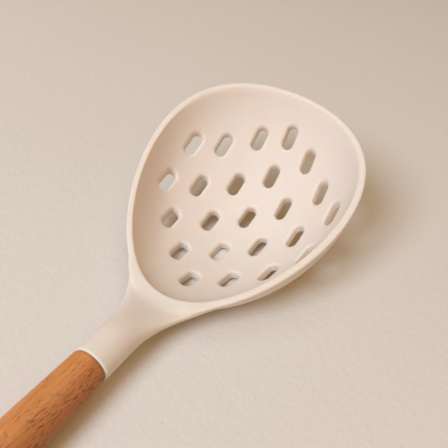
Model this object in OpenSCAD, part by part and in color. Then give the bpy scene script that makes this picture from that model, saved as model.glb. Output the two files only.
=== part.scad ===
/* [Bowl] */
// Half width of the rim line, abreast of its middle
rim_half_width = 51.75; // [46:0.25:58]
// Half length of the rim line, from the neck end to the tip
rim_half_length = 64.5; // [57:0.5:69]
// How much the rim line widens towards the tip, as a share of its half width
rim_taper = 0.21; // [0.14:0.005:0.26]
// How full the rim line's two ends are, as a share of its half width
rim_fullness = 0.02; // [0:0.01:0.1]
// Height of the rim line above the lowest point inside the bowl
bowl_depth = 39.25; // [35:0.25:46]
// Depth by which the rim line dips at the tip
tip_dip = 7; // [3:0.25:8]
// Distance of the floor's lowest point from the rim's middle, towards the tip
floor_shift = 3.75; // [1:0.25:6]
// Radius of the floor's curve from side to side
floor_radius_across = 50.5; // [45:0.5:70]
// Radius of the floor's curve along the tool
floor_radius_along = 60.5; // [56:0.5:88]
// How suddenly the wall's inner face turns up to the rim
inner_lip_power = 12; // [9:1:18]
// How suddenly the wall's outer face turns up to the rim
outer_lip_power = 28; // [20:1:40]
// Thickness of the silicone wall at the rim
wall = 3.5; // [3:0.1:4.4]
// Thickness of the bowl's floor in its middle, with the core inside it
floor_wall = 5; // [4.4:0.1:6]
// Angle between the rim's plane and the handle
head_angle = 25; // [17:0.5:29]
// Depth of the rim line's neck end below the handle's axis
rim_drop = 1.4; // [0:0.1:3]

/* [Drain slots] */
// Width of a slot
slot_width = 5.75; // [5:0.25:7]
// Length of a slot
slot_length = 12.5; // [10:0.5:15]
// Distance between neighbouring columns of slots
column_pitch = 15; // [13.5:0.25:15.5]
// Distance between the slots of one column
row_pitch = 25.7; // [23:0.1:26.4]
// Distance by which the outermost columns are drawn in
outer_column_inset = 2.5; // [1:0.25:5]
// Distance by which the outermost columns are moved towards the tip
outer_column_shift = 2.75; // [0:0.25:5]
// Distance by which the middle column's slot at the tip is set back
tip_slot_setback = 5.75; // [3:0.25:8]
// Distance by which the middle column's slot at the neck is set back
neck_slot_setback = 1.75; // [0:0.25:4]

/* [Neck] */
// Diameter of the silicone collar where it meets the handle
collar_diameter = 17.2; // [16.8:0.1:20]
// Distance from the collar's face to the rim line, along the handle's axis
neck_length = 45.75; // [41:0.25:53]
// Length of the neck before it starts to widen
neck_straight = 18; // [12:0.5:22]
// Radius of the neck's flare, seen from above
neck_flare_radius = 42; // [36:0.5:54]
// Radius of the neck's sweep into the bowl, under the tool
neck_belly_radius = 480; // [380:10:700]
// Radius of the upward sweep of the neck's sides to the rim
neck_rise_radius = 50; // [46:1:70]
// Distance before the rim line at which that upward sweep starts
neck_rise_lead = 10; // [6:0.5:14]

/* [Handle] */
// Length of the wooden handle
handle_length = 175; // [140:1:210]
// Diameter of the handle at the collar
handle_front_diameter = 16.6; // [15.6:0.1:16.8]
// Diameter of the handle where it is widest
handle_diameter = 20; // [18:0.25:24]
// Distance from the collar to the widest place
handle_widest_at = 105; // [80:1:130]
// Radius that breaks the handle's front edge
handle_edge_radius = 0.8; // [0.3:0.1:1.2]
// Diameter of the hole for hanging the tool
hang_hole_diameter = 6.5; // [4:0.25:8]
// Distance of the hanging hole from the handle's end
hang_hole_inset = 16; // [13:0.5:24]

/* [Core] */
// Thickness of silicone over the stiff core
core_cover = 1; // [0.8:0.05:1.2]
// Room between a drain slot and the core's opening around it
core_slot_margin = 1.8; // [1:0.1:2]
// Diameter of the core's stem inside the neck
stem_diameter = 10; // [9:0.25:12]
// Diameter of the tang that sits in the handle
tang_diameter = 8; // [6:0.25:8.5]
// Length of the tang inside the handle
tang_length = 48; // [35:1:70]
// Thickness of the adhesive round the tang
glue_gap = 0.3; // [0.15:0.05:0.6]
// Depth of the adhesive behind the tang's end
glue_pocket = 2; // [1:0.25:4]

/* [Hidden] */

// Fineness of the curved surfaces
around = 48;
floor_steps = [0.15, 0.3, 0.45, 0.6, 0.75, 0.86, 0.92, 0.955, 0.98, 1];
bead_angles = [20, 40, 60];
core_steps = [0.15, 0.3, 0.45, 0.6, 0.75, 0.86, 0.92, 0.955];
neck_stations = 14;
neck_around = 32;
barrel_steps = 18;
dome_angles = [10:10:80];
slot_fn = 16;
rod_fn = 36;

// Slots in the middle column, one fewer in each column further out
middle_column_slots = 5;
// Columns on each side of the middle one
outer_column = 3;

// Reach of the neck's body into the bowl's wall, as a share of the rim's half width
neck_overlap = 0.32;
// How flat the neck's top is where it meets the rim
neck_top_flatness = 0.35;
// Depth of the handle's domed end, as a share of its radius there
dome_share = 0.6;
// Half width of the core's fan, as a share of the neck's
fan_share = 0.55;
// Reach of the core's fan past the edge of its dish, as a share of the wall
fan_overlap = 1.75;

// Height of the empty space kept above the rim when the bowl is hollowed
clear_above = 20;
// Reach of the slot cutters past the wall
clear_past = 60;

collar_r = collar_diameter / 2;
rim_middle = [0, -floor_shift];
barrel_radius = pow(handle_widest_at, 2) / (handle_diameter - handle_front_diameter);

// Rim line and floor, in the bowl's own frame: origin at the lowest point inside, +Y to the tip
function rim_swell(t) = 1 + rim_taper * cos(t) + rim_fullness * pow(cos(t), 2);
function rim_xy(t, grow) = [
    (rim_half_width + grow) * sin(t) * rim_swell(t),
    rim_middle.y + (rim_half_length + grow) * cos(t)
];
function rim_z(t) = bowl_depth - tip_dip * pow(max(0, cos(t)), 3);
function floor_z(p) = pow(p.x, 2) / (2 * floor_radius_across) + pow(p.y, 2) / (2 * floor_radius_along);
function floor_slope(p) = norm([p.x / floor_radius_across, p.y / floor_radius_along]);

// Height of the floor at a depth in the wall: 0 is the inner face, wall is the outer face
function sunk_floor(p, depth) = floor_z(p) - depth * norm([1, floor_slope(p)]);

// The wall is thicker in the floor's middle, and its inner face turns up over a wider band
function thickening(share) = 1 + (floor_wall / wall - 1) * (1 - pow(share, 4));
function lip_power(depth) = inner_lip_power + (outer_lip_power - inner_lip_power) * depth / wall;

// Point of the wall at a share of the way out from the rim's middle, in direction t
function wall_point(share, t, depth) =
    let (edge = rim_xy(t, depth - wall / 2),
         p = rim_middle + share * (edge - rim_middle),
         lip = rim_z(t) - sunk_floor(edge, depth))
    [p.x, p.y, sunk_floor(p, depth * thickening(share)) + lip * pow(share, lip_power(depth))];

// Point of the rim's rounded edge: side 1 is outside, side -1 inside
function bead_point(angle, t, side, lift = 0) =
    let (p = rim_xy(t, side * wall / 2 * cos(angle)))
    [p.x, p.y, rim_z(t) + wall / 2 * sin(angle) + lift];

directions = [for (i = [0:around - 1]) 360 * i / around];
function wall_rings(steps, depth) = [for (s = steps) [for (t = directions) wall_point(s, t, depth)]];
function bead_rings(side) = [for (a = bead_angles) [for (t = directions) bead_point(a, t, side)]];
bead_top = wall / 2 * sin(bead_angles[len(bead_angles) - 1]);

// Where the bowl's frame sits on the handle's axis: +Y to the tip, origin at the collar's face
rim_end = [rim_middle.y - rim_half_length, rim_z(180)];
bowl_y = neck_length - rim_end[0] * cos(head_angle) + rim_end[1] * sin(head_angle);
bowl_z = -rim_drop - rim_end[0] * sin(head_angle) - rim_end[1] * cos(head_angle);
function on_tool(p) = [
    p.x,
    bowl_y + p.y * cos(head_angle) - p.z * sin(head_angle),
    bowl_z + p.y * sin(head_angle) + p.z * cos(head_angle)
];

// Closed surface through rings of points, from one end point to the other
module ringed(first, rings, last) {
    n = len(rings[0]);
    m = len(rings);
    points = concat([first], [for (r = rings) each r], [last]);
    start_fan = [for (j = [0:n - 1]) [0, 1 + (j + 1) % n, 1 + j]];
    bands = [for (i = [0:m - 2], j = [0:n - 1])
        let (a = 1 + i * n + j, b = 1 + i * n + (j + 1) % n)
        each [[a, b + n, a + n], [a, b, b + n]]];
    end_fan = [for (j = [0:n - 1])
        [m * n + 1, 1 + (m - 1) * n + j, 1 + (m - 1) * n + (j + 1) % n]];
    polyhedron(points, concat(start_fan, bands, end_fan), convexity = 6);
}

// Bowl, filled to its rim, with the rim's outer edge rounded
module filled_bowl() {
    rings = concat(wall_rings(floor_steps, wall), bead_rings(1));
    top = [rim_middle.x, rim_middle.y, bowl_depth + bead_top];
    ringed(wall_point(0, 0, wall), rings, top);
}

// Space inside the bowl, down to a depth in its wall, opening upwards past the rim
module bowl_space(depth) {
    floor_rings = wall_rings(floor_steps, depth);
    inner = depth > 0 ? floor_rings : concat(floor_rings, bead_rings(-1));
    rim_ring = inner[len(inner) - 1];
    raised = [for (p = rim_ring) p + [0, 0, clear_above]];
    top = [rim_middle.x, rim_middle.y, bowl_depth + clear_above];
    ringed(wall_point(0, 0, depth), concat(inner, [raised]), top);
}

module place_bowl() {
    translate([0, bowl_y, bowl_z])
        rotate([head_angle, 0, 0])
            children();
}

// Neck: rings of flattened rounds from the collar to inside the bowl's wall
neck_reach = neck_length + neck_overlap * rim_half_width;
function past_straight(y) = max(0, y - neck_straight);
function neck_half_width(y) = collar_r + pow(past_straight(y), 2) / (2 * neck_flare_radius);
function neck_bottom(y) = -collar_r - pow(past_straight(y), 2) / (2 * neck_belly_radius);
function ease(u) = let (v = min(1, max(0, u))) v * v * (3 - 2 * v);
function neck_rise(y) = pow(max(0, y - neck_length + neck_rise_lead), 2) / (2 * neck_rise_radius);
neck_round = 2 / 3 * neck_straight;
function neck_turn(y) = ease((y - neck_round) / (neck_length - neck_round));
function neck_middle(y) = neck_rise(y) - rim_drop * neck_turn(y);
function neck_top(y) = neck_middle(y) + collar_r + (bead_top - collar_r) * neck_turn(y);
function neck_point(y, a) =
    let (flatness = sin(a) > 0 ? 1 - neck_top_flatness * neck_turn(y) : 1,
         side = sign(cos(a)) * pow(abs(cos(a)), flatness),
         rise = sign(sin(a)) * pow(abs(sin(a)), flatness),
         half = rise > 0 ? neck_top(y) - neck_middle(y) : neck_middle(y) - neck_bottom(y))
    [neck_half_width(y) * side, y, neck_middle(y) + half * rise];
function neck_ring(y) = [for (j = [0:neck_around - 1]) neck_point(y, 360 * j / neck_around)];

module neck_body() {
    rings = [for (i = [0:neck_stations]) neck_ring(neck_reach * i / neck_stations)];
    ringed([0, 0, 0], rings, [0, neck_reach, (neck_top(neck_reach) + neck_bottom(neck_reach)) / 2]);
}

// Drain slots: columns from side to side, each neighbour staggered by half a row
function slots_in(column) = middle_column_slots - abs(column);
function column_x(column) =
    column * column_pitch - (abs(column) == outer_column ? sign(column) * outer_column_inset : 0);
function slot_y(column, i) =
    (i - (slots_in(column) - 1) / 2) * row_pitch
    + (abs(column) == outer_column ? outer_column_shift : 0)
    - (column == 0 && i == slots_in(column) - 1 ? tip_slot_setback : 0)
    + (column == 0 && i == 0 ? neck_slot_setback : 0);

module upright_slot(x, y_low, y_high, width) {
    hull()
        for (y = [y_low + width / 2, y_high - width / 2])
            translate([x, y, -clear_past / 2])
                cylinder(d = width, h = clear_past * 2, $fn = slot_fn);
}

module drain_slots() {
    for (column = [-outer_column:outer_column], i = [0:slots_in(column) - 1])
        let (y = slot_y(column, i))
            upright_slot(column_x(column), y - slot_length / 2, y + slot_length / 2, slot_width);
}

// One long opening in the core for each column of slots
module core_openings() {
    margin = slot_length / 2 + core_slot_margin;
    for (column = [-outer_column:outer_column])
        upright_slot(
            column_x(column),
            slot_y(column, 0) - margin,
            slot_y(column, slots_in(column) - 1) + margin,
            slot_width + 2 * core_slot_margin
        );
}

// Handle's outline, from the axis at the front, out along the barrel and round the end
function handle_radius(y) = handle_diameter / 2 - pow(y - handle_widest_at, 2) / (2 * barrel_radius);
dome_start = handle_length - dome_share * handle_radius(handle_length);
dome_r = handle_radius(dome_start);
dome_depth = handle_length - dome_start;
edge_arc = [for (a = [0:30:90])
    [handle_radius(0) - handle_edge_radius * (1 - sin(a)), handle_edge_radius * (1 - cos(a))]];
barrel_line = [for (i = [1:barrel_steps])
    let (y = handle_edge_radius + (dome_start - handle_edge_radius) * i / barrel_steps)
    [handle_radius(y), y]];
dome_arc = [for (a = dome_angles) [dome_r * cos(a), dome_start + dome_depth * sin(a)]];
handle_outline = concat([[0, 0]], edge_arc, barrel_line, dome_arc, [[0, handle_length]]);

module along_handle() {
    rotate([90, 0, 0])
        children();
}

// Resting pose: the tool is turned until the bowl and the handle's end both touch the ground
bowl_profile = [for (s = floor_steps, t = [0, 180]) on_tool(wall_point(s, t, wall))];
handle_profile = [for (p = handle_outline) [0, -p.y, -p.x]];
function height(p, turn) = p.y * sin(turn) + p.z * cos(turn);
function lowest(points, turn) = min([for (p = points) height(p, turn)]);
function balance(turn) = lowest(bowl_profile, turn) - lowest(handle_profile, turn);
function settle(low, high, rounds) =
    let (mid = (low + high) / 2)
    rounds == 0 ? mid : balance(mid) > 0 ? settle(low, mid, rounds - 1) : settle(mid, high, rounds - 1);
rest_turn = settle(-15, 15, 40);
rest_lift = -lowest(handle_profile, rest_turn);

// Middle of the tool's length as it rests
tip_profile = [for (a = bead_angles) on_tool(bead_point(a, 0, 1))];
function reach(p) = p.y * cos(rest_turn) - p.z * sin(rest_turn);
tip_end = max([for (p = tip_profile) reach(p)]);
handle_end = min([for (p = handle_profile) min(reach(p), reach([0, p.y, -p.z]))]);
rest_back = -(tip_end + handle_end) / 2;

module at_rest() {
    translate([0, rest_back, rest_lift])
        rotate([rest_turn, 0, 0])
            children();
}

// Stiff core: slotted dish inside the bowl's wall, with a fan, a stem and the tang
dish_edge = on_tool(wall_point(core_steps[len(core_steps) - 1], 180, wall / 2));
fan_start = neck_straight / 3;
fan_end = dish_edge.y + fan_overlap * wall;
fan_thickness = wall - core_cover;
fan_half_width = fan_share * neck_half_width(neck_length);
fan_z = dish_edge.z - wall / 4;

module core_dish() {
    edge_first = [for (i = [len(core_steps) - 1:-1:0]) core_steps[i]];
    rings = concat(wall_rings(core_steps, wall - core_cover), wall_rings(edge_first, core_cover));
    ringed(wall_point(0, 0, wall - core_cover), rings, wall_point(0, 0, core_cover));
}

module core_fan() {
    hull() {
        translate([0, fan_start, 0])
            along_handle()
                cylinder(d = stem_diameter, h = fan_start / 2, $fn = rod_fn);
        translate([-fan_half_width, fan_end - wall, fan_z - fan_thickness / 2])
            cube([2 * fan_half_width, wall, fan_thickness]);
    }
}

module core_shape() {
    difference() {
        union() {
            place_bowl()
                core_dish();
            difference() {
                core_fan();
                place_bowl()
                    bowl_space(wall / 2);
            }
            translate([0, fan_start, 0])
                along_handle()
                    cylinder(d = tang_diameter, h = fan_start + tang_length, $fn = rod_fn);
        }
        place_bowl()
            core_openings();
    }
}

module silicone_head() {
    color("antiquewhite")
        at_rest()
            difference() {
                union() {
                    place_bowl()
                        filled_bowl();
                    neck_body();
                }
                place_bowl() {
                    bowl_space(0);
                    drain_slots();
                }
                core_shape();
            }
}

module core_frame() {
    color("dimgray")
        at_rest()
            core_shape();
}

module tang_adhesive() {
    bore_d = tang_diameter + 2 * glue_gap;
    color("lightyellow")
        at_rest()
            along_handle()
                difference() {
                    cylinder(d = bore_d, h = tang_length + glue_pocket, $fn = rod_fn);
                    cylinder(d = tang_diameter, h = tang_length, $fn = rod_fn);
                }
}

module handle() {
    bore_d = tang_diameter + 2 * glue_gap;
    color("peru")
        at_rest()
            difference() {
                along_handle()
                    rotate_extrude($fn = rod_fn)
                        polygon(handle_outline);
                along_handle()
                    cylinder(d = bore_d, h = tang_length + glue_pocket, $fn = rod_fn);
                translate([0, hang_hole_inset - handle_length, -handle_diameter])
                    cylinder(d = hang_hole_diameter, h = 2 * handle_diameter, $fn = rod_fn);
            }
}

silicone_head();
core_frame();
tang_adhesive();
handle();
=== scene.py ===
"""Silicone skimmer: a slotted bowl and neck of cream silicone on a round beech handle.

The head and the handle are solids given by formulas, in millimetres, in the tool's own frame:
+Y runs along the handle's axis to the bowl's tip, and the origin is at the collar's face.
A formula is negative inside its solid. Each solid is meshed, laid in the resting pose and
stands for its CAD node. The core and the adhesive are the CAD nodes themselves.
"""

import math

import bpy
import numpy as np
import openvdb
from mathutils import Matrix, Vector


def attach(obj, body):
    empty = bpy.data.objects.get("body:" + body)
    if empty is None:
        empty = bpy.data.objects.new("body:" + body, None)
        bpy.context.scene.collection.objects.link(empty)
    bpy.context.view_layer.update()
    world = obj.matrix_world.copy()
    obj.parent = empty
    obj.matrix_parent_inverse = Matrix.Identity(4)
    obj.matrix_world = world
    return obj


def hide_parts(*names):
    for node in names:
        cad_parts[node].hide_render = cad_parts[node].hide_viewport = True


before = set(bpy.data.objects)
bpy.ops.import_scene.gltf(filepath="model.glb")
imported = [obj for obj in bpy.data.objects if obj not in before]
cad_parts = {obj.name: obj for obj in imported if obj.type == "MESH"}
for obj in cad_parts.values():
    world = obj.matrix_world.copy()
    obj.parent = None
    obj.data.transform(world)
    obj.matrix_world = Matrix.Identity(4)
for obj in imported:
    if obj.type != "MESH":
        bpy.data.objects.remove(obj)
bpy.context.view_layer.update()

MM = 0.001
TINY = 1e-6  # keeps divisions clear of zero

# Bowl
RIM_HALF_WIDTH = 51.75
RIM_HALF_LENGTH = 64.5
RIM_TAPER = 0.21
RIM_FULLNESS = 0.02
RIM_STEPS = 1440
BOWL_DEPTH = 39.25
TIP_DIP = 7
TIP_DIP_POWER = 3
RIM_MIDDLE_Y = -3.75
FLOOR_RADIUS_ACROSS = 50.5
FLOOR_RADIUS_ALONG = 60.5
INNER_LIP_POWER = 12
OUTER_LIP_POWER = 28
WALL = 3.5
FLOOR_WALL = 5
FLOOR_WALL_POWER = 4
RIM_ROUND = 1.516
HEAD_ANGLE = math.radians(25)
BOWL_Y = 124.193
BOWL_Z = -8.129

# Drain slots
SLOT_WIDTH = 5.75
SLOT_LENGTH = 12.5
COLUMN_PITCH = 15
ROW_PITCH = 25.7
OUTER_COLUMN = 3
OUTER_COLUMN_INSET = 2.5
OUTER_COLUMN_SHIFT = 2.75
MIDDLE_COLUMN_SLOTS = 5
TIP_SLOT_SETBACK = 5.75
NECK_SLOT_SETBACK = 1.75
SLOT_DRAFT = 0.8
SLOT_LEAN = 0.4

# Neck
COLLAR_RADIUS = 8.6
NECK_LENGTH = 45.75
NECK_STRAIGHT = 18
NECK_ROUND = 12
NECK_FLARE_RADIUS = 42
NECK_BELLY_RADIUS = 480
NECK_RISE_RADIUS = 50
NECK_RISE_LEAD = 10
NECK_REACH = 62.31
NECK_SINK = 2
NECK_SHOULDER = 0.35  # how far the upper half fills out from an ellipse towards a box
RIM_DROP = 1.4

# Handle
HANDLE_LENGTH = 175
HANDLE_FRONT_RADIUS = 8.3
HANDLE_RADIUS = 10
HANDLE_WIDEST_AT = 105
DOME_SHARE = 0.6
HANG_HOLE_RADIUS = 3.25
HANG_HOLE_INSET = 16
BORE_RADIUS = 4.3
BORE_DEPTH = 50

# Resting pose of the tool
REST_TURN = math.radians(2.10860)
REST_BACK = 4.95076
REST_LIFT = 15.5879

# Roundings, by the width over which two faces run into each other
SLOT_EDGE = 1.6
SLOT_EDGE_LEFT = 0.1  # share of it at the outer face
RIM_INNER_EDGE = 0.9
TIP_INNER_EDGE = 2.4
TIP_EDGE_RUN = 45
RIM_OUTER_EDGE = 1.6
COLLAR_EDGE = 0.9
NECK_FILLET = 5
NECK_FILLET_LEFT = 0.02  # share of it where the neck ends
HANDLE_EDGE = 1.2
HOLE_EDGE = 1.4

# Meshing: corners of the space around each solid, and steps of its grid
HEAD_SPACE = (-58, -1.5, -21), (58, 172, 60)
HEAD_GRAIN = 0.6
HANDLE_SPACE = (-11.5, -177, -11.5), (11.5, 1.5, 11.5)
HANDLE_GRAIN = 0.75
FIELD_BAND = 4
SLAB_ROWS = 24
SETTLE_PASSES = 3
SETTLE_REACH = 0.5
SLOPE_STEP = 0.02
LEAST_SLOPE_SQUARED = 0.05

# Light and floor, in metres and watts
OBJECT_MIDDLE = (0, 0.08, 0.02)
LAMPS = (  # name, place, size, power, colour
    ("window", (-0.258, -1.384, 1.358), 0.8, 37, (0.64, 0.80, 0.98)),
    ("skylight", (0, 0.08, 2.02), 1.5, 8, (0.68, 0.82, 1.0)),
    ("bounce", (0.574, -0.913, 1.658), 1.5, 5, (1.0, 0.68, 0.28)),
)
ROOM_LIGHT = (0.36, 0.238, 0.086, 1)
FLOOR_REACH = 3.0

# Camera, fitted to the photo in the tool's own frame
PHOTO_WIDTH = 448
FOCAL_PIXELS = 600
SENSOR_WIDTH = 36
CAMERA_NEAR = 0.01
CAMERA_PLACE = (95.31, -97.31, 212.74)
CAMERA_RIGHT = (0.8309, 0.5416, 0.1275)
CAMERA_AHEAD = (-0.3186, 0.6509, -0.6890)


def rest_pose():
    turn = Matrix.Rotation(REST_TURN, 4, "X")
    return Matrix.Translation((0, REST_BACK * MM, REST_LIFT * MM)) @ turn


def seam(a, b, width):
    """How far the seam between two faces is filled or rounded off, over a width."""
    near = np.clip(width - np.abs(a - b), 0, None) / width
    return near * near * width / 4


def joined(a, b, width):
    """Union of two solids, filleted over a width."""
    return np.minimum(a, b) - seam(a, b, width)


def cut(a, b, width):
    """Solid a where it is also in b, with the edge between them rounded over a width."""
    return np.maximum(a, b) + seam(a, b, width)


def ease(u):
    """0 below 0, 1 above 1, smooth in between."""
    u = np.clip(u, 0, 1)
    return u * u * (3 - 2 * u)


def rim_line(t, grow):
    swell = 1 + RIM_TAPER * np.cos(t) + RIM_FULLNESS * np.cos(t) ** 2
    x = (RIM_HALF_WIDTH + grow) * np.sin(t) * swell
    y = (RIM_HALF_LENGTH + grow) * np.cos(t)
    return x, y


class WallFace:
    """One face of the bowl's wall, as a height over its plan: depth 0 is inside, WALL outside."""

    def __init__(self, depth, lip_power):
        self.depth = depth
        self.lip_power = lip_power
        turns = np.linspace(0, 2 * np.pi, RIM_STEPS + 1)
        x, y = rim_line(turns, depth - WALL / 2)
        self.angles = np.unwrap(np.arctan2(x, y))
        self.radii = np.hypot(x, y)
        self.rims = BOWL_DEPTH - TIP_DIP * np.clip(np.cos(turns), 0, None) ** TIP_DIP_POWER
        self.lips = self.rims - self.floor(x, y + RIM_MIDDLE_Y, 1)

    def floor(self, x, y, share):
        """Height of the curved floor, without the lip. It is thicker away from the rim."""
        slope = np.hypot(x / FLOOR_RADIUS_ACROSS, y / FLOOR_RADIUS_ALONG)
        height = x * x / (2 * FLOOR_RADIUS_ACROSS) + y * y / (2 * FLOOR_RADIUS_ALONG)
        thicker = 1 + (FLOOR_WALL / WALL - 1) * (1 - share**FLOOR_WALL_POWER)
        return height - self.depth * thicker * np.sqrt(1 + slope * slope)

    def around(self, x, y):
        """Share of the way out to the rim, and the rim's radius, height and lip there."""
        angle = np.mod(np.arctan2(x, y - RIM_MIDDLE_Y), 2 * np.pi)
        radius = np.interp(angle, self.angles, self.radii)
        rim = np.interp(angle, self.angles, self.rims)
        lip = np.interp(angle, self.angles, self.lips)
        return np.hypot(x, y - RIM_MIDDLE_Y) / radius, radius, rim, lip

    def above(self, x, y, z):
        """Distance above the face, nearly. Past the rim, the way back to it is taken off."""
        share, radius, _, lip = self.around(x, y)
        within = np.minimum(share, 1)
        slope = np.hypot(x / FLOOR_RADIUS_ACROSS, y / FLOOR_RADIUS_ALONG)
        slope = slope + self.lip_power * lip / radius * within ** (self.lip_power - 1)
        over = z - self.floor(x, y, within) - lip * within**self.lip_power
        return over / np.sqrt(1 + slope * slope) - np.clip(share - 1, 0, None) * radius


INNER_FACE = WallFace(0, INNER_LIP_POWER)
OUTER_FACE = WallFace(WALL, OUTER_LIP_POWER)


def slot_places():
    for column in range(-OUTER_COLUMN, OUTER_COLUMN + 1):
        outermost = abs(column) == OUTER_COLUMN
        count = MIDDLE_COLUMN_SLOTS - abs(column)
        x = column * COLUMN_PITCH - (math.copysign(OUTER_COLUMN_INSET, column) if outermost else 0)
        for i in range(count):
            y = (i - (count - 1) / 2) * ROW_PITCH + (OUTER_COLUMN_SHIFT if outermost else 0)
            if column == 0 and i == 0:
                y += NECK_SLOT_SETBACK
            if column == 0 and i == count - 1:
                y -= TIP_SLOT_SETBACK
            yield x, y


def slots(x, y, z, depth):
    """All drain slots, leaning out and narrowing from the bowl's inner face to its outer one."""
    nearest = np.full(np.shape(x), np.inf)
    straight = (SLOT_LENGTH - SLOT_WIDTH) / 2
    for slot_x, slot_y in slot_places():
        drop = SLOT_LEAN * (INNER_FACE.floor(slot_x, slot_y, 0) - z)
        across = x - slot_x - drop * slot_x / FLOOR_RADIUS_ACROSS
        along = np.abs(y - slot_y - drop * slot_y / FLOOR_RADIUS_ALONG)
        nearest = np.minimum(nearest, np.hypot(across, np.clip(along - straight, 0, None)))
    return nearest - SLOT_WIDTH / 2 - SLOT_DRAFT * (0.5 - np.clip(depth / FLOOR_WALL, 0, 1))


def neck_end(y):
    """0 up to the neck's full length, 1 where it ends inside the bowl's wall."""
    return ease((y - NECK_LENGTH) / (NECK_REACH - NECK_LENGTH))


def neck(x, y, z):
    """Neck: round at the collar, flared and flattened where it runs into the bowl."""
    past = np.clip(y - NECK_STRAIGHT, 0, None)
    turn = ease((y - NECK_ROUND) / (NECK_LENGTH - NECK_ROUND))
    rise = np.clip(y - NECK_LENGTH + NECK_RISE_LEAD, 0, None) ** 2 / (2 * NECK_RISE_RADIUS)
    half_width = COLLAR_RADIUS + past**2 / (2 * NECK_FLARE_RADIUS)
    middle = rise - RIM_DROP * turn
    bottom = -COLLAR_RADIUS - past**2 / (2 * NECK_BELLY_RADIUS)
    flattened = COLLAR_RADIUS + (RIM_ROUND - COLLAR_RADIUS) * turn
    upper = z > middle
    half_height = np.where(upper, flattened, middle - bottom)
    power = np.where(upper, 2 / (1 - NECK_SHOULDER * turn), 2)
    u = np.abs(x) / half_width + TINY
    v = np.abs(z - middle) / half_height + TINY
    size = (u**power + v**power) ** (1 / power)
    slope_across = (u / size) ** (power - 1) / half_width
    slope_up = (v / size) ** (power - 1) / half_height
    body = (size - 1) / np.hypot(slope_across, slope_up) + NECK_SINK * neck_end(y)
    return np.maximum(cut(body, -y, COLLAR_EDGE), y - NECK_REACH)


def silicone_head(p):
    """Formula of the head: bowl and neck in one, hollowed and slotted."""
    x, y, z = p
    bowl_y = (y - BOWL_Y) * math.cos(HEAD_ANGLE) + (z - BOWL_Z) * math.sin(HEAD_ANGLE)
    bowl_z = (z - BOWL_Z) * math.cos(HEAD_ANGLE) - (y - BOWL_Y) * math.sin(HEAD_ANGLE)
    share, radius, rim, _ = INNER_FACE.around(x, bowl_y)
    depth = -INNER_FACE.above(x, bowl_y, bowl_z)
    filled = -OUTER_FACE.above(x, bowl_y, bowl_z)
    filled = cut(filled, bowl_z - rim - RIM_ROUND, RIM_OUTER_EDGE)
    hollow = np.maximum(depth, (share - 1) * radius)
    fillet = NECK_FILLET * (1 + NECK_FILLET_LEFT - neck_end(y))
    body = joined(filled, neck(x, y, z), fillet)
    body = cut(body, -hollow, RIM_INNER_EDGE + TIP_INNER_EDGE * ease(bowl_y / TIP_EDGE_RUN))
    edge = SLOT_EDGE * (1 + SLOT_EDGE_LEFT - ease(depth / FLOOR_WALL))
    return cut(body, -slots(x, bowl_y, bowl_z, depth), edge)


def beech_handle(p):
    """Formula of the handle: a barrelled rod, domed, drilled and bored for the tang."""
    x, y, z = p
    back = -y
    barrel = HANDLE_WIDEST_AT**2 / (HANDLE_RADIUS - HANDLE_FRONT_RADIUS) / 2
    radius = HANDLE_RADIUS - (back - HANDLE_WIDEST_AT) ** 2 / (2 * barrel)
    end_radius = HANDLE_RADIUS - (HANDLE_LENGTH - HANDLE_WIDEST_AT) ** 2 / (2 * barrel)
    dome_depth = DOME_SHARE * end_radius
    dome = np.clip(back - HANDLE_LENGTH + dome_depth, 0, None) / dome_depth
    from_axis = np.hypot(x, z)
    size = np.hypot(from_axis / radius, dome) + TINY
    steepness = np.hypot(from_axis / radius / size / radius, dome / size / dome_depth) + TINY
    body = cut((size - 1) / steepness, y, HANDLE_EDGE)
    hole = np.hypot(x, back - HANDLE_LENGTH + HANG_HOLE_INSET) - HANG_HOLE_RADIUS
    bore = np.maximum(from_axis - BORE_RADIUS, back - BORE_DEPTH)
    return np.maximum(cut(body, -hole, HOLE_EDGE), -bore)


def meshed(name, solid, space, grain):
    """Smooth object of a solid, with its points on the surface, laid in the resting pose."""
    low, high = np.array(space, float)
    band = FIELD_BAND * grain
    counts = np.ceil((high - low) / grain).astype(int) + 1
    across, along, up = (low[i] + grain * np.arange(counts[i]) for i in range(3))
    field = np.empty(counts, np.float32)
    for start in range(0, counts[1], SLAB_ROWS):
        rows = slice(start, start + SLAB_ROWS)
        grid = np.meshgrid(across, along[rows], up, indexing="ij")
        field[:, rows] = np.clip(solid(grid), -band, band)
    volume = openvdb.FloatGrid(background=band)
    volume.copyFromArray(field)
    points, quads = volume.convertToQuads(0)
    points = low + grain * points.astype(float)
    for _ in range(SETTLE_PASSES):
        points = settled(solid, points, SETTLE_REACH * grain)
    pose = np.array(rest_pose())
    points = points * MM @ pose[:3, :3].T + pose[:3, 3]
    mesh = bpy.data.meshes.new(name)
    mesh.from_pydata(points, [], quads[:, ::-1].tolist())
    mesh.polygons.foreach_set("use_smooth", [True] * len(mesh.polygons))
    mesh.update()
    return placed(name, mesh)


def settled(solid, points, reach):
    """Points moved along the solid's slope towards its surface, each by at most the reach."""
    here = solid(points.T)
    slope = np.empty_like(points)
    for axis in range(3):
        ahead = points.copy()
        ahead[:, axis] += SLOPE_STEP
        slope[:, axis] = (solid(ahead.T) - here) / SLOPE_STEP
    steepness = np.maximum((slope**2).sum(1), LEAST_SLOPE_SQUARED)
    move = -here[:, None] * slope / steepness[:, None]
    length = np.linalg.norm(move, axis=1, keepdims=True)
    return points + move * np.minimum(1, reach / np.maximum(length, TINY))


def placed(name, data):
    """New object of a mesh, lamp or camera, in the scene."""
    made = bpy.data.objects.new(name, data)
    bpy.context.collection.objects.link(made)
    return made


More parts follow.
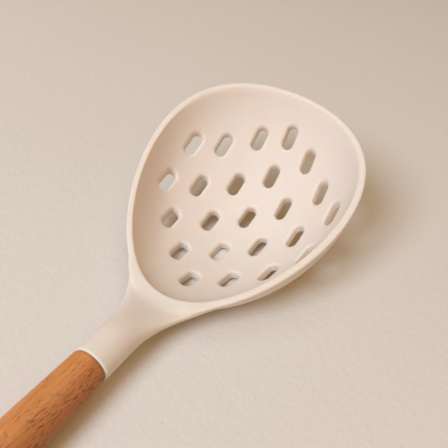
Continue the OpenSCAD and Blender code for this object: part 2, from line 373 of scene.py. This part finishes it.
class Value:
    """A socket of a finish, so that shader maths reads as a Python expression."""

    def __init__(self, finish, socket):
        self.finish = finish
        self.socket = socket

    def __add__(self, other):
        return self.finish.maths("ADD", self, other)

    __radd__ = __add__

    def __sub__(self, other):
        return self.finish.maths("SUBTRACT", self, other)

    def __mul__(self, other):
        return self.finish.maths("MULTIPLY", self, other)

    __rmul__ = __mul__


class Finish:
    """The nodes of a material or a world, around its one shader."""

    def __init__(self, owner, shader):
        owner.use_nodes = True
        self.owner = owner
        self.tree = owner.node_tree
        self.shader = self.tree.nodes[shader]

    def node(self, kind, settings, sockets, output):
        made = self.tree.nodes.new(kind)
        for name, value in settings.items():
            if name == "stops":
                self.set_stops(made.color_ramp, value)
            else:
                setattr(made, name, value)
        for key, value in sockets.items():
            self.feed(made.inputs[key], value)
        return Value(self, made.outputs[output])

    @staticmethod
    def set_stops(ramp, stops):
        while len(ramp.elements) < len(stops):
            ramp.elements.new(1)
        for element, (place, colour) in zip(ramp.elements, stops):
            element.position = place
            element.color = colour

    def feed(self, socket, value):
        if isinstance(value, Value):
            self.tree.links.new(value.socket, socket)
        else:
            socket.default_value = value

    def surface(self, **inputs):
        for socket, value in inputs.items():
            self.feed(self.shader.inputs[socket.replace("_", " ")], value)

    def maths(self, operation, a, b):
        return self.node("ShaderNodeMath", {"operation": operation}, {0: a, 1: b}, "Value")

    def place(self):
        return self.node("ShaderNodeTexCoord", {}, {}, "Object")

    def stretched(self, place, scale, turn=0):
        """Place, scaled along its axes and turned about Z."""
        sockets = {"Vector": place, "Scale": scale, "Rotation": (0, 0, turn)}
        return self.node("ShaderNodeMapping", {}, sockets, "Vector")

    def noise(self, place, scale, detail, roughness=0.5, distortion=0.0):
        sockets = {"Vector": place, "Scale": scale, "Detail": detail}
        sockets.update({"Roughness": roughness, "Distortion": distortion})
        return self.node("ShaderNodeTexNoise", {}, sockets, "Fac")

    def ramp(self, value, *stops):
        return self.node("ShaderNodeValToRGB", {"stops": stops}, {"Fac": value}, "Color")

    def between(self, value, low, high):
        """0 below low, 1 above high, smooth in between."""
        settings = {"interpolation_type": "SMOOTHSTEP", "clamp": True}
        sockets = {"Value": value, "From Min": low, "From Max": high}
        return self.node("ShaderNodeMapRange", settings, sockets, "Result")

    def mixed(self, share, a, b):
        settings = {"data_type": "RGBA", "blend_type": "MIX"}
        return self.node("ShaderNodeMix", settings, {"Factor": share, 6: a, 7: b}, 2)

    def bumped(self, height, distance, strength):
        sockets = {"Height": height, "Distance": distance, "Strength": strength}
        return self.node("ShaderNodeBump", {}, sockets, "Normal")


def material_finish(name, **constants):
    finish = Finish(bpy.data.materials.new(name), "Principled BSDF")
    finish.surface(**constants)
    return finish


def srgb(red, green, blue):
    """Linear colour of an 8-bit screen colour."""
    shares = (c / 255 for c in (red, green, blue))
    linear = (s / 12.92 if s <= 0.04045 else ((s + 0.055) / 1.055) ** 2.4 for s in shares)
    return (*linear, 1)


def cream_silicone():
    finish = material_finish(
        "cream_silicone",
        Subsurface_Weight=0.6,
        Subsurface_Scale=0.005,
        Subsurface_Radius=(1.0, 0.5, 0.25),
        Specular_IOR_Level=0.22,
        Sheen_Weight=0.08,
        Sheen_Roughness=0.5,
    )
    place = finish.place()
    cloud = finish.noise(place, scale=38, detail=3)
    grain = finish.noise(place, scale=1500, detail=2)
    colour = finish.mixed(cloud, srgb(225, 210, 198), srgb(228, 214, 203))
    colour = finish.mixed(grain * 0.25, colour, srgb(216, 199, 183))
    finish.surface(
        Base_Color=colour,
        Roughness=0.58 + 0.12 * grain + 0.06 * cloud,
        Normal=finish.bumped(grain + 0.5 * cloud, distance=0.00004, strength=0.5),
    )
    return finish.owner


def oiled_beech():
    """Beech with streaks along Y and short dark flecks. Its +X side is painted darker, partly as
    darker grain and partly as painted shade, and has denser flecks.
    """
    finish = material_finish("oiled_beech", Specular_IOR_Level=0.4)
    place = finish.place()
    along = finish.stretched(place, (1, 0.06, 1), turn=0.05)
    band = finish.noise(along, scale=120, detail=3, roughness=0.55, distortion=0.6)
    streak = finish.noise(along, scale=900, detail=4, roughness=0.65)
    across = finish.node("ShaderNodeSeparateXYZ", {}, {"Vector": place}, "X")
    # Painted shade: a mask of the +X side, darkened partly as darker grain and partly as shade of
    # the side turned from the light
    grain_and_shade_side = finish.between(across + 0.012 * band, 0.003, 0.014)
    short = finish.stretched(place, (1, 0.16, 1), turn=0.12)
    flecks = finish.noise(short, scale=2100, detail=1, roughness=0.4)
    patch = finish.noise(finish.stretched(place, (1, 0.3, 1)), scale=170, detail=2)
    fleck = finish.between(flecks + 0.04 * grain_and_shade_side, 0.56, 0.70)
    fleck = fleck * finish.between(patch + 0.12 * grain_and_shade_side, 0.42, 0.64)
    colour = finish.ramp(
        0.5 * band + 0.5 * streak,
        (0.30, srgb(178, 104, 50)),
        (0.50, srgb(208, 134, 74)),
        (0.70, srgb(228, 160, 99)),
    )
    # Painted shade and darker grain: the +X side is mixed towards dark brown
    colour = finish.mixed(grain_and_shade_side * 0.6, colour, srgb(156, 86, 38))
    colour = finish.mixed(fleck * 0.9, colour, srgb(108, 52, 20))
    finish.surface(
        Base_Color=colour,
        Roughness=0.42 + 0.15 * streak + 0.15 * fleck,
        Normal=finish.bumped(streak - 1.2 * fleck, distance=0.00012, strength=0.4),
    )
    return finish.owner


def moulded_nylon():
    finish = material_finish("moulded_nylon", Specular_IOR_Level=0.45)
    place = finish.place()
    grain = finish.noise(place, scale=1200, detail=2)
    flow = finish.noise(finish.stretched(place, (1, 0.3, 1)), scale=90, detail=3)
    finish.surface(
        Base_Color=finish.mixed(flow, srgb(52, 52, 54), srgb(66, 66, 68)),
        Roughness=0.45 + 0.2 * grain,
        Normal=finish.bumped(grain, distance=0.00005, strength=0.4),
    )
    return finish.owner


def cured_epoxy():
    finish = material_finish("cured_epoxy", Specular_IOR_Level=0.5)
    cloud = finish.noise(finish.place(), scale=220, detail=4)
    finish.surface(
        Base_Color=finish.mixed(cloud, srgb(206, 190, 140), srgb(226, 214, 172)),
        Roughness=0.2 + 0.2 * cloud,
        Normal=finish.bumped(cloud, distance=0.0001, strength=0.3),
    )
    return finish.owner


def pale_plaster():
    """Floor finish: pale, with faint clouds, trowel marks and a few soft pits."""
    finish = material_finish("pale_plaster", Specular_IOR_Level=0.2)
    place = finish.place()
    cloud = finish.noise(place, scale=9, detail=4)
    trowel = finish.noise(place, scale=240, detail=5, roughness=0.6)
    pit = finish.between(finish.noise(place, scale=420, detail=2), 0.68, 0.78)
    colour = finish.mixed(cloud, srgb(220, 209, 200), srgb(223, 212, 204))
    finish.surface(
        Base_Color=finish.mixed(pit * 0.12, colour, srgb(196, 182, 168)),
        Roughness=0.75 + 0.15 * trowel,
        Normal=finish.bumped(trowel - 0.3 * pit, distance=0.0006, strength=0.55),
    )
    return finish.owner


def dress(piece, material):
    piece.data.materials.clear()
    piece.data.materials.append(material)


def make_object():
    head = meshed("head", silicone_head, HEAD_SPACE, HEAD_GRAIN)
    dress(head, cream_silicone())
    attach(head, "root")
    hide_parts("silicone_head")

    grip = meshed("grip", beech_handle, HANDLE_SPACE, HANDLE_GRAIN)
    dress(grip, oiled_beech())
    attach(grip, "root")
    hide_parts("handle")

    dress(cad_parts["core_frame"], moulded_nylon())
    dress(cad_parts["tang_adhesive"], cured_epoxy())


def make_floor():
    mesh = bpy.data.meshes.new("floor")
    corners = ((-1, -1), (1, -1), (1, 1), (-1, 1))
    points = [(FLOOR_REACH * x, FLOOR_REACH * y, 0) for x, y in corners]
    mesh.from_pydata(points, [], [(0, 1, 2, 3)])
    floor = placed("floor", mesh)
    dress(floor, pale_plaster())


def make_lamp(name, place, size, power, colour):
    """Round area lamp that points at the object."""
    lamp = bpy.data.lights.new(name, "AREA")
    lamp.shape = "DISK"
    lamp.size = size
    lamp.energy = power
    lamp.color = colour
    holder = placed(name, lamp)
    holder.location = place
    aim = Vector(OBJECT_MIDDLE) - Vector(place)
    holder.rotation_euler = aim.to_track_quat("-Z", "Y").to_euler()


def make_room():
    """The world: it lights the object warmly, but is seen and mirrored as a pale wall."""
    room = Finish(bpy.data.worlds.new("room"), "Background")
    seen = room.node("ShaderNodeLightPath", {}, {}, "Is Camera Ray")
    mirrored = room.node("ShaderNodeLightPath", {}, {}, "Is Glossy Ray")
    pale = room.maths("MAXIMUM", seen, mirrored)
    room.surface(Color=room.mixed(pale, ROOM_LIGHT, srgb(214, 203, 193)), Strength=1.0)
    bpy.context.scene.world = room.owner


def make_camera():
    camera = bpy.data.cameras.new("camera")
    camera.sensor_width = SENSOR_WIDTH
    camera.lens = SENSOR_WIDTH * FOCAL_PIXELS / PHOTO_WIDTH
    camera.clip_start = CAMERA_NEAR
    right = Vector(CAMERA_RIGHT)
    ahead = Vector(CAMERA_AHEAD)
    up = right.cross(ahead)
    axes = Matrix((right.normalized(), up.normalized(), -ahead.normalized())).transposed().to_4x4()
    holder = placed("camera", camera)
    holder.matrix_world = rest_pose() @ Matrix.Translation(Vector(CAMERA_PLACE) * MM) @ axes
    bpy.context.scene.camera = holder


bpy.context.scene.view_settings.view_transform = "Standard"
make_object()
make_floor()
for lamp_row in LAMPS:
    make_lamp(*lamp_row)
make_room()
make_camera()
